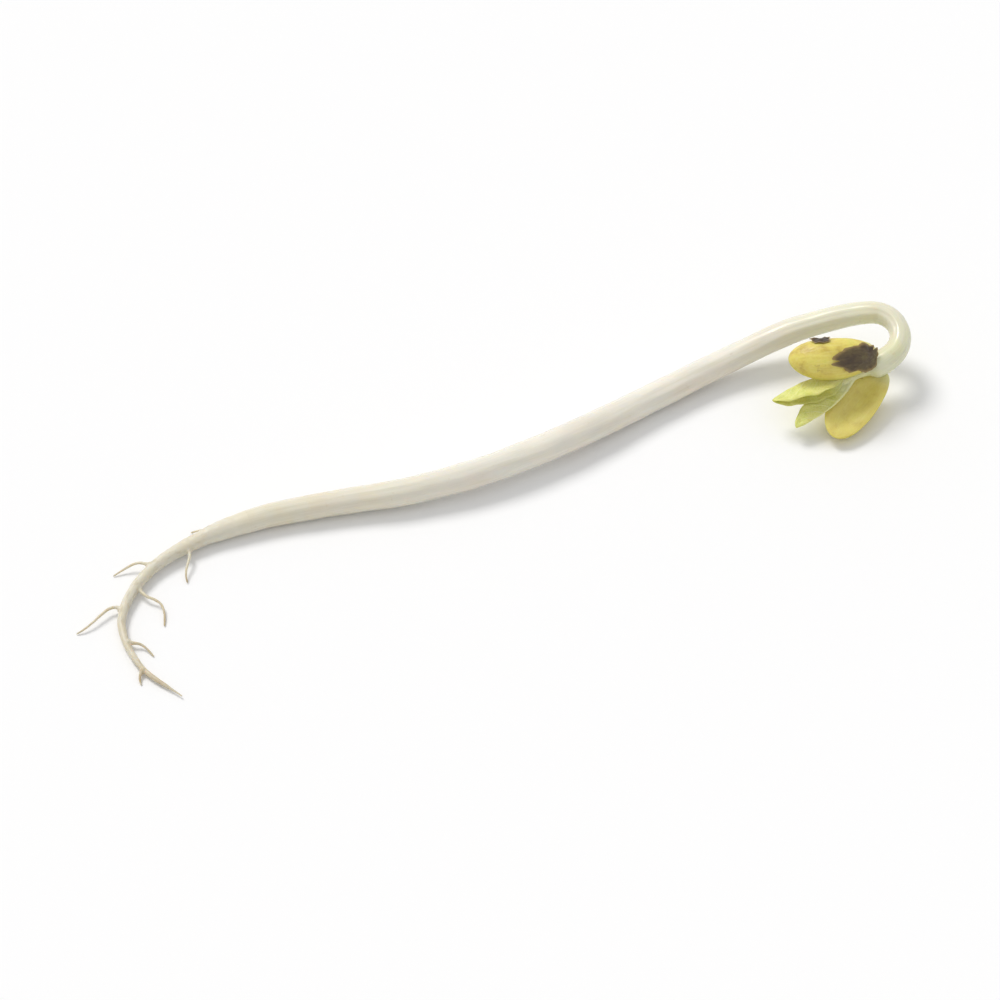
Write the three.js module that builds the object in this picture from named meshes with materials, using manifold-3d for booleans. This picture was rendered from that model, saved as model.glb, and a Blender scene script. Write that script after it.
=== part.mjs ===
// A mung bean sprout as picked, lying on its side on a flat surface.
// Millimetres, +Z up. The surface is Z = 0 and the origin is the middle of the footprint.
// The stem runs from the root at -X to the hooked neck at +X, and the head folds back under the hook.
import * as THREE from "three";
import { mergeVertices } from "three/addons/utils/BufferGeometryUtils.js";
import Module from "manifold-3d";

const wasm = await Module();
wasm.setup();

// Root and stem share one centreline. Lengths are measured along it from the root's tip.
const ROOT_LENGTH = 27;
const ROOT_TIP_RADIUS = 0.14;
const COLLAR_RADIUS = 1.02;
const STEM_RADIUS = 1.3;
const NECK_RADIUS = 0.98;
const NODE_RADIUS = 1.16;

// Side rootlets: where they leave the root as a share of its length from the collar, to which side,
// how far out they reach, how far they sweep towards the tip, how much they wander, and how high they
// arch before they come down to the surface.
const ROOTLET_RADIUS = 0.17;
const ROOTLET_TIP_RADIUS = 0.08;
const ROOTLETS = [
  { at: 0.13, side: 1, reach: 1.7, sweep: 0.7, wander: 0.08, arch: 0.2 },
  { at: 0.24, side: -1, reach: 3.1, sweep: 0.5, wander: -0.1, arch: 0.3 },
  { at: 0.35, side: 1, reach: 2.3, sweep: 1.3, wander: 0.12, arch: 0.5 },
  { at: 0.45, side: -1, reach: 4.3, sweep: 0.6, wander: 0.11, arch: 0.2 },
  { at: 0.57, side: 1, reach: 3.6, sweep: 0.8, wander: -0.13, arch: 0.3 },
  { at: 0.7, side: -1, reach: 1.9, sweep: 1.1, wander: 0.1, arch: 0.2 },
  { at: 0.83, side: 1, reach: 1.1, sweep: 1, wander: 0.06, arch: 0.1 },
];
const ROOTLET_POINTS = 6;

// The hook at the top of the stem, a turn of the centreline in a plane that leans to the head's side.
const HOOK_BEND_RADIUS = 2.75;
const HOOK_TURN = THREE.MathUtils.degToRad(150);
const HOOK_LEAN = THREE.MathUtils.degToRad(11);
const HOOK_CLIMB = THREE.MathUtils.degToRad(7);
const HOOK_START = new THREE.Vector3(33.3, 20.4, 4.64);
const NECK_LENGTH = 2.1;

// Seed halves, flat on the inside and round on the outside, with outlines a little bowed like a bean's.
const COTYLEDON_LENGTH = 8.2;
const COTYLEDON_WIDTH = 4.3;
const COTYLEDON_THICKNESS = 1.95;
const INNER_BULGE = 0.16;
const KIDNEY_BOW = 0.35;
const COTYLEDON_GAP = 1.64;

// The shoot between the seed halves.
const EPICOTYL_LENGTH = 2.7;
const EPICOTYL_RADIUS = 0.42;
const EPICOTYL_RISE = 0.3;
const LEAF_LENGTH = 6.8;
const LEAF_WIDTH = 4.8;
const LEAF_HALF_THICKNESS = 0.16;
const LEAF_BOW = 0.5;
const LEAF_FOLD = 0.22;
const FOLD_SOFTNESS = 0.12;

// The torn skin of the bean.
const COAT_THICKNESS = 0.2;

// Clear space between two pieces that touch on the real plant.
const JOINT_GAP = 0.06;

const CENTRELINE_STEPS = 1200;
const HOOK_POINTS = 5;
const DOME_RINGS = 4;
const COAT_RINGS = 6;
const COAT_SIDES = 22;

// Closed body with each corner stored once.
function closed(geometry) {
  geometry.deleteAttribute("normal");
  geometry.deleteAttribute("uv");
  return mergeVertices(geometry, 1e-4);
}

function toSolid(geometry) {
  const body = closed(geometry.clone());
  return new wasm.Manifold(new wasm.Mesh({
    numProp: 3,
    vertProperties: new Float32Array(body.getAttribute("position").array),
    triVerts: new Uint32Array(body.getIndex().array),
  }));
}

function toGeometry(solid) {
  const mesh = solid.getMesh();
  const geometry = new THREE.BufferGeometry();
  geometry.setAttribute("position", new THREE.BufferAttribute(mesh.vertProperties, 3));
  geometry.setIndex(new THREE.BufferAttribute(mesh.triVerts, 1));
  return geometry;
}

// Moves every vertex of a geometry by a function that changes a Vector3 in place.
function reshape(geometry, move) {
  const position = geometry.getAttribute("position");
  const vertex = new THREE.Vector3();
  for (let index = 0; index < position.count; index += 1) {
    vertex.fromBufferAttribute(position, index);
    move(vertex);
    position.setXYZ(index, vertex.x, vertex.y, vertex.z);
  }
  return geometry;
}

// One stretch of a longer curve, from one share of its length to another, in either direction.
class Stretch extends THREE.Curve {
  constructor(curve, from, to) {
    super();
    this.curve = curve;
    this.from = from;
    this.to = to;
  }

  getPoint(t, target = new THREE.Vector3()) {
    return this.curve.getPointAt(THREE.MathUtils.lerp(this.from, this.to, t), target);
  }
}

// Outline of a round body of changing thickness, for turning about +Y. It starts flat, where the body
// joins its neighbour, and ends in a dome. Each of radii is [share of the length, radius].
function rodOutline(length, radii, rings) {
  const thickness = new THREE.SplineCurve(radii.map(([share, radius]) => new THREE.Vector2(share, radius)));
  const tipRadius = radii.at(-1)[1];
  const domeStart = length - tipRadius;
  const outline = [new THREE.Vector2(0, 0)];
  for (const { x: share, y: radius } of thickness.getPoints(rings)) {
    outline.push(new THREE.Vector2(radius, share * domeStart));
  }
  for (let step = 1; step <= DOME_RINGS; step += 1) {
    const angle = (step / DOME_RINGS) * (Math.PI / 2);
    const radius = step < DOME_RINGS ? tipRadius * Math.cos(angle) : 0;
    outline.push(new THREE.Vector2(radius, domeStart + tipRadius * Math.sin(angle)));
  }
  return outline;
}

// Bends a rod that stands along +Y onto a curve of the same length.
function bendAlong(geometry, curve, steps) {
  const length = curve.getLength();
  const frames = curve.computeFrenetFrames(steps);
  const side = new THREE.Vector3();
  const across = new THREE.Vector3();
  return reshape(geometry, (vertex) => {
    const share = THREE.MathUtils.clamp(vertex.y / length, 0, 1);
    const step = Math.min(Math.floor(share * steps), steps - 1);
    const mix = share * steps - step;
    side.lerpVectors(frames.normals[step], frames.normals[step + 1], mix).normalize();
    across.lerpVectors(frames.binormals[step], frames.binormals[step + 1], mix).normalize();
    const { x, z } = vertex;
    vertex.copy(curve.getPointAt(share));
    vertex.addScaledVector(side, x);
    vertex.addScaledVector(across, -z);
  });
}

// Point on the surface of a seed half, raised by rise. The base is at the origin, +X runs to the tip,
// +Z is the round outer side, and the flat inner side lies close to Z = 0.
function lobePoint(direction, rise) {
  const halfLength = COTYLEDON_LENGTH / 2;
  const halfWidth = (COTYLEDON_WIDTH / 2) * (0.94 + 0.08 * direction.x);
  const depth = direction.z > 0 ? COTYLEDON_THICKNESS : INNER_BULGE;
  const outward = new THREE.Vector3(
    direction.x / halfLength,
    direction.y / halfWidth,
    direction.z / COTYLEDON_THICKNESS,
  ).normalize();
  const point = new THREE.Vector3(direction.x * halfLength, direction.y * halfWidth, direction.z * depth);
  point.addScaledVector(outward, rise);
  point.y -= KIDNEY_BOW * (direction.x * direction.x);
  point.x += halfLength;
  return point;
}

function lobeGeometry() {
  const geometry = new THREE.SphereGeometry(1, 24, 16);
  return reshape(geometry, (vertex) => vertex.copy(lobePoint(vertex, 0)));
}

// A cap of torn skin over part of a seed half. It is turned as a bowl whose inner wall has radius 1
// and outer wall radius 2, and each wall is then laid on the seed half at its own rise.
function coatGeometry(reach, pole) {
  const outline = [];
  for (let step = 0; step <= COAT_RINGS; step += 1) {
    const angle = (step / COAT_RINGS) * reach;
    outline.push(new THREE.Vector2(Math.sin(angle), Math.cos(angle)));
  }
  for (let step = COAT_RINGS; step >= 0; step -= 1) {
    const angle = (step / COAT_RINGS) * reach;
    outline.push(new THREE.Vector2(2 * Math.sin(angle), 2 * Math.cos(angle)));
  }
  outline[0].x = 0;
  outline.at(-1).x = 0;
  const turnToPole = new THREE.Quaternion().setFromUnitVectors(new THREE.Vector3(0, 1, 0), pole);
  return reshape(new THREE.LatheGeometry(outline, COAT_SIDES), (vertex) => {
    const wall = vertex.length() - 1;
    const polar = Math.acos(THREE.MathUtils.clamp(vertex.y / vertex.length(), -1, 1));
    const around = Math.atan2(vertex.z, vertex.x);
    const longTears = 0.16 * Math.sin(2 * around + 0.6) + 0.09 * Math.sin(5 * around);
    const tear = 1 + longTears + 0.05 * Math.cos(9 * around);
    const direction = new THREE.Vector3(
      Math.sin(polar * tear) * Math.cos(around),
      Math.cos(polar * tear),
      Math.sin(polar * tear) * Math.sin(around),
    ).applyQuaternion(turnToPole);
    vertex.copy(lobePoint(direction, JOINT_GAP + wall * COAT_THICKNESS));
  });
}

// A young leaf folded along its rib. The rib runs along +X and bows to -Z, and both halves of the blade
// rise to +Z.
function leafGeometry(size) {
  const halfWidth = LEAF_WIDTH / 2;
  const rise = Math.cos(LEAF_FOLD);
  const lean = Math.sin(LEAF_FOLD);
  const leaf = reshape(new THREE.SphereGeometry(1, 20, 14), (vertex) => {
    const { x, y, z } = vertex;
    const spread = halfWidth * (1 - 0.28 * x);
    const fromRib = Math.hypot(y, FOLD_SOFTNESS);
    const along = (x + 1) / 2;
    const skin = new THREE.Vector3(0, (-rise * y) / fromRib, lean + 0.02).normalize();
    vertex.set(along * LEAF_LENGTH, y * spread * lean, (fromRib - FOLD_SOFTNESS) * spread * rise);
    vertex.addScaledVector(skin, z * LEAF_HALF_THICKNESS);
    vertex.z -= LEAF_BOW * Math.sin(Math.PI * along);
  });
  return leaf.scale(size, size, size);
}

// Directions of the hook's plane: along the stem as it enters the hook, and in towards the head.
const HOOK_TILT = new THREE.Euler(HOOK_LEAN, -HOOK_CLIMB, 0);
const FORWARD = new THREE.Vector3(1, 0, 0).applyEuler(HOOK_TILT);
const INWARD = new THREE.Vector3(0, -1, 0).applyEuler(HOOK_TILT);

function hookPoint(turn) {
  return HOOK_START.clone()
    .addScaledVector(FORWARD, HOOK_BEND_RADIUS * Math.sin(turn))
    .addScaledVector(INWARD, HOOK_BEND_RADIUS * (1 - Math.cos(turn)));
}

function headDirection() {
  return FORWARD.clone().multiplyScalar(Math.cos(HOOK_TURN)).addScaledVector(INWARD, Math.sin(HOOK_TURN));
}

function nodePoint() {
  return hookPoint(HOOK_TURN).addScaledVector(headDirection(), NECK_LENGTH);
}

// Centreline of the whole sprout, from the root's tip, along the stem and round the hook to the node.
function sproutCentreline() {
  const points = [
    new THREE.Vector3(-27.5, -21.4, 0.28),
    new THREE.Vector3(-31.3, -18.0, 0.42),
    new THREE.Vector3(-33.1, -12.8, 0.54),
    new THREE.Vector3(-31.1, -7.6, 0.7),
    new THREE.Vector3(-26.7, -3.8, 0.88),
    new THREE.Vector3(-20.9, -1.2, 1.08),
    new THREE.Vector3(-14.5, 0.3, 1.28),
    new THREE.Vector3(-7.7, 1.6, 1.58),
    new THREE.Vector3(-0.7, 4.0, 1.83),
    new THREE.Vector3(6.3, 7.8, 1.78),
    new THREE.Vector3(13.1, 12.5, 1.4),
    new THREE.Vector3(19.9, 16.8, 1.68),
    new THREE.Vector3(26.7, 19.7, 3.08),
  ];
  for (let step = 0; step <= HOOK_POINTS; step += 1) {
    points.push(hookPoint((step / HOOK_POINTS) * HOOK_TURN));
  }
  points.push(nodePoint());
  const centreline = new THREE.CatmullRomCurve3(points);
  centreline.arcLengthDivisions = CENTRELINE_STEPS;
  return centreline;
}

const centreline = sproutCentreline();
const collarShare = ROOT_LENGTH / centreline.getLength();
const halfGapShare = JOINT_GAP / 2 / centreline.getLength();

// The stem, from the collar to the swollen node, with its own thickness all along. A clearance makes
// it that much thicker, to cut its neighbours with.
function hypocotylGeometry(clearance = 0) {
  const path = new Stretch(centreline, collarShare + halfGapShare, 1);
  const radii = [
    [0, COLLAR_RADIUS],
    [0.08, COLLAR_RADIUS * 1.08],
    [0.32, STEM_RADIUS],
    [0.58, STEM_RADIUS * 0.97],
    [0.8, STEM_RADIUS * 0.86],
    [0.93, NECK_RADIUS],
    [0.985, NODE_RADIUS],
    [1, NODE_RADIUS * 0.98],
  ].map(([share, radius]) => [share, radius + clearance]);
  const outline = rodOutline(path.getLength(), radii, 64);
  return bendAlong(new THREE.LatheGeometry(outline, 16), path, 240);
}

// One side rootlet, from inside the main root out to its tip on the surface.
function rootletGeometry(rootPath, { at, side, reach, sweep, wander, arch }) {
  const base = rootPath.getPointAt(at);
  const onward = rootPath.getTangentAt(at);
  const outward = new THREE.Vector3(onward.y, -onward.x, 0).normalize().multiplyScalar(side);
  const drop = base.z - ROOTLET_TIP_RADIUS - 0.02;
  const points = [];
  for (let step = 0; step <= ROOTLET_POINTS; step += 1) {
    const t = step / ROOTLET_POINTS;
    const point = base.clone().addScaledVector(outward, reach * t);
    point.addScaledVector(onward, reach * (sweep * t * t + wander * Math.sin(2 * Math.PI * t)));
    point.z = base.z - drop * t + arch * Math.sin(Math.PI * t);
    points.push(point);
  }
  const path = new THREE.CatmullRomCurve3(points);
  const radii = [
    [0, ROOTLET_RADIUS * 1.3],
    [0.2, ROOTLET_RADIUS],
    [0.7, ROOTLET_RADIUS * 0.75],
    [1, ROOTLET_TIP_RADIUS],
  ];
  const outline = rodOutline(path.getLength(), radii, 10);
  return bendAlong(new THREE.LatheGeometry(outline, 6), path, 40);
}

// The primary root with its side rootlets, joined into one body.
function rootGeometry() {
  const path = new Stretch(centreline, collarShare - halfGapShare, 0);
  const radii = [
    [0, COLLAR_RADIUS],
    [0.06, COLLAR_RADIUS * 0.9],
    [0.2, COLLAR_RADIUS * 0.66],
    [0.5, COLLAR_RADIUS * 0.45],
    [0.8, COLLAR_RADIUS * 0.26],
    [1, ROOT_TIP_RADIUS],
  ];
  const outline = rodOutline(path.getLength(), radii, 38);
  const mainRoot = toSolid(bendAlong(new THREE.LatheGeometry(outline, 10), path, 160));
  const rootlets = ROOTLETS.map((rootlet) => toSolid(rootletGeometry(path, rootlet)));
  return toGeometry(rootlets.reduce((whole, rootlet) => whole.add(rootlet), mainRoot));
}

// The stalk between the seed halves, ending in the rounded terminal bud.
function epicotylGeometry() {
  const bend = new THREE.QuadraticBezierCurve3(
    new THREE.Vector3(0, 0, 0),
    new THREE.Vector3(EPICOTYL_LENGTH * 0.5, 0, EPICOTYL_RISE),
    new THREE.Vector3(EPICOTYL_LENGTH, 0, EPICOTYL_RISE),
  );
  const radii = [[0, EPICOTYL_RADIUS], [0.5, EPICOTYL_RADIUS * 0.86], [1, EPICOTYL_RADIUS]];
  return bendAlong(new THREE.LatheGeometry(rodOutline(bend.getLength(), radii, 8), 12), bend, 40);
}

function material(colour, roughness) {
  return new THREE.MeshStandardMaterial({ color: colour, roughness, metalness: 0 });
}

const stemMaterial = material("#e3dccb", 0.32);
const rootMaterial = material("#ddd0b6", 0.5);
const cotyledonMaterial = material("#bdb366", 0.45);
const shootMaterial = material("#d6d684", 0.45);
const leafMaterial = material("#cfd07a", 0.5);
const coatMaterial = material("#5d4a36", 0.6);

function named(name, geometry, surface) {
  const mesh = new THREE.Mesh(geometry, surface);
  mesh.name = name;
  return mesh;
}

// Cuts away what a piece of the head would share with the stem, with the joint gap all round it.
function seatOnStem(mesh, stemClearance) {
  mesh.updateWorldMatrix(true, false);
  const clearance = stemClearance.clone().applyMatrix4(mesh.matrixWorld.clone().invert());
  mesh.geometry = toGeometry(toSolid(mesh.geometry).subtract(toSolid(clearance)));
}

// The head: everything past the node. +X leaves the node, +Z is the upper side.
function headGroup() {
  const head = new THREE.Group();
  const onward = headDirection();
  const upward = new THREE.Vector3().crossVectors(INWARD, FORWARD).normalize();
  const sideways = new THREE.Vector3().crossVectors(upward, onward);
  head.quaternion.setFromRotationMatrix(new THREE.Matrix4().makeBasis(onward, sideways, upward));
  head.position.copy(nodePoint());

  const lower = named("cotyledon_lower", lobeGeometry(), cotyledonMaterial);
  lower.position.set(-1.5, 0.25, -COTYLEDON_GAP / 2);
  lower.rotation.set(Math.PI - 0.2, -0.03, 0.4, "ZYX");

  const upper = named("cotyledon_upper", lobeGeometry(), cotyledonMaterial);
  upper.position.set(-1.5, -0.2, COTYLEDON_GAP / 2);
  upper.rotation.set(-0.1, -0.22, -0.36, "ZYX");

  const epicotyl = named("epicotyl", epicotylGeometry(), shootMaterial);
  epicotyl.position.set(JOINT_GAP, 0, 0);

  const leftLeaf = named("primary_leaf_left", leafGeometry(1), leafMaterial);
  leftLeaf.position.set(EPICOTYL_LENGTH * 0.8, -0.5, EPICOTYL_RISE + 0.7);
  leftLeaf.rotation.set(-1.46, -0.02, -0.14, "ZYX");

  const rightLeaf = named("primary_leaf_right", leafGeometry(0.92), leafMaterial);
  rightLeaf.position.set(EPICOTYL_LENGTH * 0.8, 0.68, EPICOTYL_RISE - 0.16);
  rightLeaf.rotation.set(1.57, 0.01, 0.15, "ZYX");

  const coatPole = new THREE.Vector3(-0.56, 0.44, 0.7).normalize();
  const coat = named("seed_coat", coatGeometry(0.64, coatPole), coatMaterial);
  upper.add(coat);
  const scrapPole = new THREE.Vector3(0.3, -0.62, 0.72).normalize();
  upper.add(named("seed_coat_scrap", coatGeometry(0.24, scrapPole), coatMaterial));

  head.add(lower, upper, epicotyl, leftLeaf, rightLeaf);
  const clearance = hypocotylGeometry(JOINT_GAP);
  for (const piece of [lower, upper, coat]) {
    seatOnStem(piece, clearance);
  }
  return head;
}

const sprout = new THREE.Group();
sprout.add(named("hypocotyl", hypocotylGeometry(), stemMaterial));
sprout.add(named("root", rootGeometry(), rootMaterial));
sprout.add(headGroup());

// Stands the sprout on Z = 0, with the middle of its footprint at the origin.
const extent = new THREE.Box3().setFromObject(sprout, true);
const middle = extent.getCenter(new THREE.Vector3());
sprout.position.set(-middle.x, -middle.y, -extent.min.z);

export default sprout;
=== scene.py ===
import math

import bmesh
import bpy
from mathutils import Matrix, Vector, kdtree, noise


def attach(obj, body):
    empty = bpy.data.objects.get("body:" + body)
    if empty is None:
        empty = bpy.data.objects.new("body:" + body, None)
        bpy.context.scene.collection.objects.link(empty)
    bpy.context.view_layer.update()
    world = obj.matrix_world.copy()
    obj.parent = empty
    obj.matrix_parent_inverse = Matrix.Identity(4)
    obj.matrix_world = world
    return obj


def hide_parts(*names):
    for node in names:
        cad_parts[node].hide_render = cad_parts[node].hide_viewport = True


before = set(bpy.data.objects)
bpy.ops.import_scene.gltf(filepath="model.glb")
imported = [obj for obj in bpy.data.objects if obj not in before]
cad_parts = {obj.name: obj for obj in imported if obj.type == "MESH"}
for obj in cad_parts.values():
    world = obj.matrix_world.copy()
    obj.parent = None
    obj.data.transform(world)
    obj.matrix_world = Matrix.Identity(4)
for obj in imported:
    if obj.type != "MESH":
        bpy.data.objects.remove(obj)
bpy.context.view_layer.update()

MM = 0.001
scene = bpy.context.scene


# ---------------------------------------------------------------- table, light and camera
# The sprout lies on a plain white table in soft daylight from the back left, in a pale room. The camera
# looks down on it from the front, as someone standing at the table would.
VIEW_ELEVATION = math.radians(48)
VIEW_DISTANCE = 0.62
VIEW_LENS = 252
VIEW_AIM = Vector((0.0, 0.0, 2.0)) * MM
TABLE_REACH = 3.0
TABLE_WHITE = (0.951, 0.951, 0.957, 1)
SEEN_BACKGROUND = (0.985, 0.985, 0.985, 1)
SUN_DIRECTION = Vector((-0.42, 0.5, 0.86))
SUN_STRENGTH = 1.65
SUN_WIDTH = math.radians(24)
SUN_COLOUR = (1.0, 0.985, 0.96)
LIGHT_FROM_BELOW = (0.41, 0.41, 0.41, 1)
LIGHT_FROM_ABOVE = (0.70, 0.705, 0.71, 1)
ABOVE_STARTS_AT = 0.35

camera_data = bpy.data.cameras.new("view")
camera_data.lens = VIEW_LENS
camera_data.clip_start = 0.01
camera_data.clip_end = 20
camera = bpy.data.objects.new("view", camera_data)
scene.collection.objects.link(camera)
view_line = Vector((0, -math.cos(VIEW_ELEVATION), math.sin(VIEW_ELEVATION)))
camera.location = VIEW_AIM + view_line * VIEW_DISTANCE
camera.rotation_euler = (-view_line).to_track_quat("-Z", "Y").to_euler()
scene.camera = camera

sun_data = bpy.data.lights.new("daylight", "SUN")
sun_data.energy = SUN_STRENGTH
sun_data.angle = SUN_WIDTH
sun_data.color = SUN_COLOUR
sun = bpy.data.objects.new("daylight", sun_data)
sun.rotation_euler = SUN_DIRECTION.to_track_quat("Z", "Y").to_euler()
scene.collection.objects.link(sun)

world = bpy.data.worlds.new("room")
world.use_nodes = True
scene.world = world
room = world.node_tree
room_light = room.nodes["Background"]
room_seen = room.nodes.new("ShaderNodeBackground")
room_seen.inputs["Color"].default_value = SEEN_BACKGROUND
sky_ramp = room.nodes.new("ShaderNodeValToRGB")
sky_ramp.color_ramp.elements[0].position = ABOVE_STARTS_AT
sky_ramp.color_ramp.elements[0].color = LIGHT_FROM_BELOW
sky_ramp.color_ramp.elements[1].color = LIGHT_FROM_ABOVE
sky_place = room.nodes.new("ShaderNodeTexCoord")
sky_split = room.nodes.new("ShaderNodeSeparateXYZ")
sky_height = room.nodes.new("ShaderNodeMapRange")
sky_height.inputs["From Min"].default_value = -1
sky_height.inputs["From Max"].default_value = 1
ray_kind = room.nodes.new("ShaderNodeLightPath")
room_mix = room.nodes.new("ShaderNodeMixShader")
room.links.new(sky_place.outputs["Generated"], sky_split.inputs["Vector"])
room.links.new(sky_split.outputs["Z"], sky_height.inputs["Value"])
room.links.new(sky_height.outputs["Result"], sky_ramp.inputs["Fac"])
room.links.new(sky_ramp.outputs["Color"], room_light.inputs["Color"])
ray_seen = ray_kind.outputs["Is Camera Ray"]
for other_ray in ("Is Glossy Ray", "Is Transmission Ray"):
    either = room.nodes.new("ShaderNodeMath")
    either.operation = "MAXIMUM"
    room.links.new(ray_seen, either.inputs[0])
    room.links.new(ray_kind.outputs[other_ray], either.inputs[1])
    ray_seen = either.outputs[0]
room.links.new(ray_seen, room_mix.inputs["Fac"])
room.links.new(room_light.outputs["Background"], room_mix.inputs[1])
room.links.new(room_seen.outputs["Background"], room_mix.inputs[2])
room.links.new(room_mix.outputs["Shader"], room.nodes["World Output"].inputs["Surface"])

table_mesh = bmesh.new()
bmesh.ops.create_grid(table_mesh, x_segments=1, y_segments=1, size=TABLE_REACH)
table_data = bpy.data.meshes.new("table")
table_mesh.to_mesh(table_data)
table_mesh.free()
table = bpy.data.objects.new("table", table_data)
scene.collection.objects.link(table)
table_paint = bpy.data.materials.new("white_table")
table_paint.use_nodes = True
table_shader = table_paint.node_tree.nodes["Principled BSDF"]
table_shader.inputs["Base Color"].default_value = TABLE_WHITE
table_shader.inputs["Roughness"].default_value = 0.9
table_shader.inputs["Specular IOR Level"].default_value = 0.1
table_data.materials.append(table_paint)

scene.view_settings.view_transform = "Standard"


# ---------------------------------------------------------------- hypocotyl
# The plump white stem, grown as one piece from the collar at the root to the swollen node under the
# seed halves. It is watery ivory tissue in a thin shiny skin, faintly streaked along its length, and
# its top bends back on itself in a tight hook.
ROOT_LENGTH = 27
COLLAR_RADIUS = 1.02
STEM_RADIUS = 1.3
NECK_RADIUS = 0.98
NODE_RADIUS = 1.16
SHOOT_BASE_RADIUS = 0.58
STEM_END_RADIUS = SHOOT_BASE_RADIUS - 0.06
HOOK_BEND_RADIUS = 2.75
HOOK_TURN = math.radians(150)
HOOK_TILT = Matrix.Rotation(math.radians(11), 3, "X") @ Matrix.Rotation(-math.radians(7), 3, "Y")
HOOK_START = Vector((33.3, 20.4, 4.64))
HOOK_STEPS = 5
CURVE_STEPS = 40
NECK_LENGTH = 2.1
FORWARD = HOOK_TILT @ Vector((1, 0, 0))
INWARD = HOOK_TILT @ Vector((0, -1, 0))
HEAD_DIRECTION = FORWARD * math.cos(HOOK_TURN) + INWARD * math.sin(HOOK_TURN)
CENTRELINE = [
    Vector((-27.5, -21.4, 0.28)),
    Vector((-31.3, -18.0, 0.42)),
    Vector((-33.1, -12.8, 0.54)),
    Vector((-31.1, -7.6, 0.7)),
    Vector((-26.7, -3.8, 0.88)),
    Vector((-20.9, -1.2, 1.08)),
    Vector((-14.5, 0.3, 1.28)),
    Vector((-7.7, 1.6, 1.58)),
    Vector((-0.7, 4.0, 1.83)),
    Vector((6.3, 7.8, 1.78)),
    Vector((13.1, 12.5, 1.4)),
    Vector((19.9, 16.8, 1.68)),
    Vector((26.7, 19.7, 3.08)),
]
for hook_step in range(HOOK_STEPS + 1):
    turned = HOOK_TURN * hook_step / HOOK_STEPS
    across_hook = FORWARD * math.sin(turned) + INWARD * (1 - math.cos(turned))
    CENTRELINE.append(HOOK_START + across_hook * HOOK_BEND_RADIUS)
NODE = CENTRELINE[-1] + HEAD_DIRECTION * NECK_LENGTH
CENTRELINE.append(NODE)


def smooth_route(points, spacing):
    """Points at an even spacing along a smooth curve through the given ones."""
    anchors = [points[0] * 2 - points[1], *points, points[-1] * 2 - points[-2]]
    fine = []
    for a, b, c, d in zip(anchors, anchors[1:], anchors[2:], anchors[3:]):
        ab = math.sqrt((b - a).length)
        bc = math.sqrt((c - b).length)
        cd = math.sqrt((d - c).length)
        leave = ((b - a) / ab - (c - a) / (ab + bc) + (c - b) / bc) * bc
        arrive = ((c - b) / bc - (d - b) / (bc + cd) + (d - c) / cd) * bc
        for step in range(CURVE_STEPS):
            t = step / CURVE_STEPS
            ends = b * (2 * t**3 - 3 * t**2 + 1) + c * (3 * t**2 - 2 * t**3)
            fine.append(ends + leave * (t**3 - 2 * t**2 + t) + arrive * (t**3 - t**2))
    fine.append(points[-1].copy())
    total = sum((end - start).length for start, end in zip(fine, fine[1:]))
    step_length = total / max(2, round(total / spacing))
    even = [fine[0]]
    walked = 0
    for start, end in zip(fine, fine[1:]):
        stride = (end - start).length
        while walked + stride >= len(even) * step_length - 1e-9:
            even.append(start.lerp(end, (len(even) * step_length - walked) / stride))
        walked += stride
    if (even[-1] - fine[-1]).length > step_length / 2:
        even.append(fine[-1])
    return even


def frames_along(route):
    """A frame at each point of a route: +Z onwards, and X and Y carried along without twist."""
    frames = []
    ahead = (route[1] - route[0]).normalized()
    side = ahead.orthogonal().normalized()
    for index, point in enumerate(route):
        next_ahead = (route[min(index + 1, len(route) - 1)] - route[max(index - 1, 0)]).normalized()
        side = ahead.rotation_difference(next_ahead) @ side
        ahead = next_ahead
        side = (side - ahead * side.dot(ahead)).normalized()
        turn = Matrix((side, ahead.cross(side), ahead)).transposed()
        frames.append(Matrix.Translation(point) @ turn.to_4x4())
    return frames


def value_along(stations, share):
    """A smooth value between [share, value] stations."""
    share = min(max(share, stations[0][0]), stations[-1][0])
    index = 0
    while index < len(stations) - 2 and share > stations[index + 1][0]:
        index += 1

    def slope(at):
        before = stations[max(at - 1, 0)]
        after = stations[min(at + 1, len(stations) - 1)]
        return (after[1] - before[1]) / (after[0] - before[0])

    (start, low), (end, high) = stations[index], stations[index + 1]
    width = end - start
    t = (share - start) / width
    ends = low * (2 * t**3 - 3 * t**2 + 1) + high * (3 * t**2 - 2 * t**3)
    return ends + width * (slope(index) * (t**3 - 2 * t**2 + t) + slope(index + 1) * (t**3 - t**2))


def ease(low, high, value):
    """0 at low and before it, 1 at high and past it, and a smooth rise between them."""
    t = min(max((value - low) / (high - low), 0), 1)
    return t * t * (3 - 2 * t)


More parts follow.
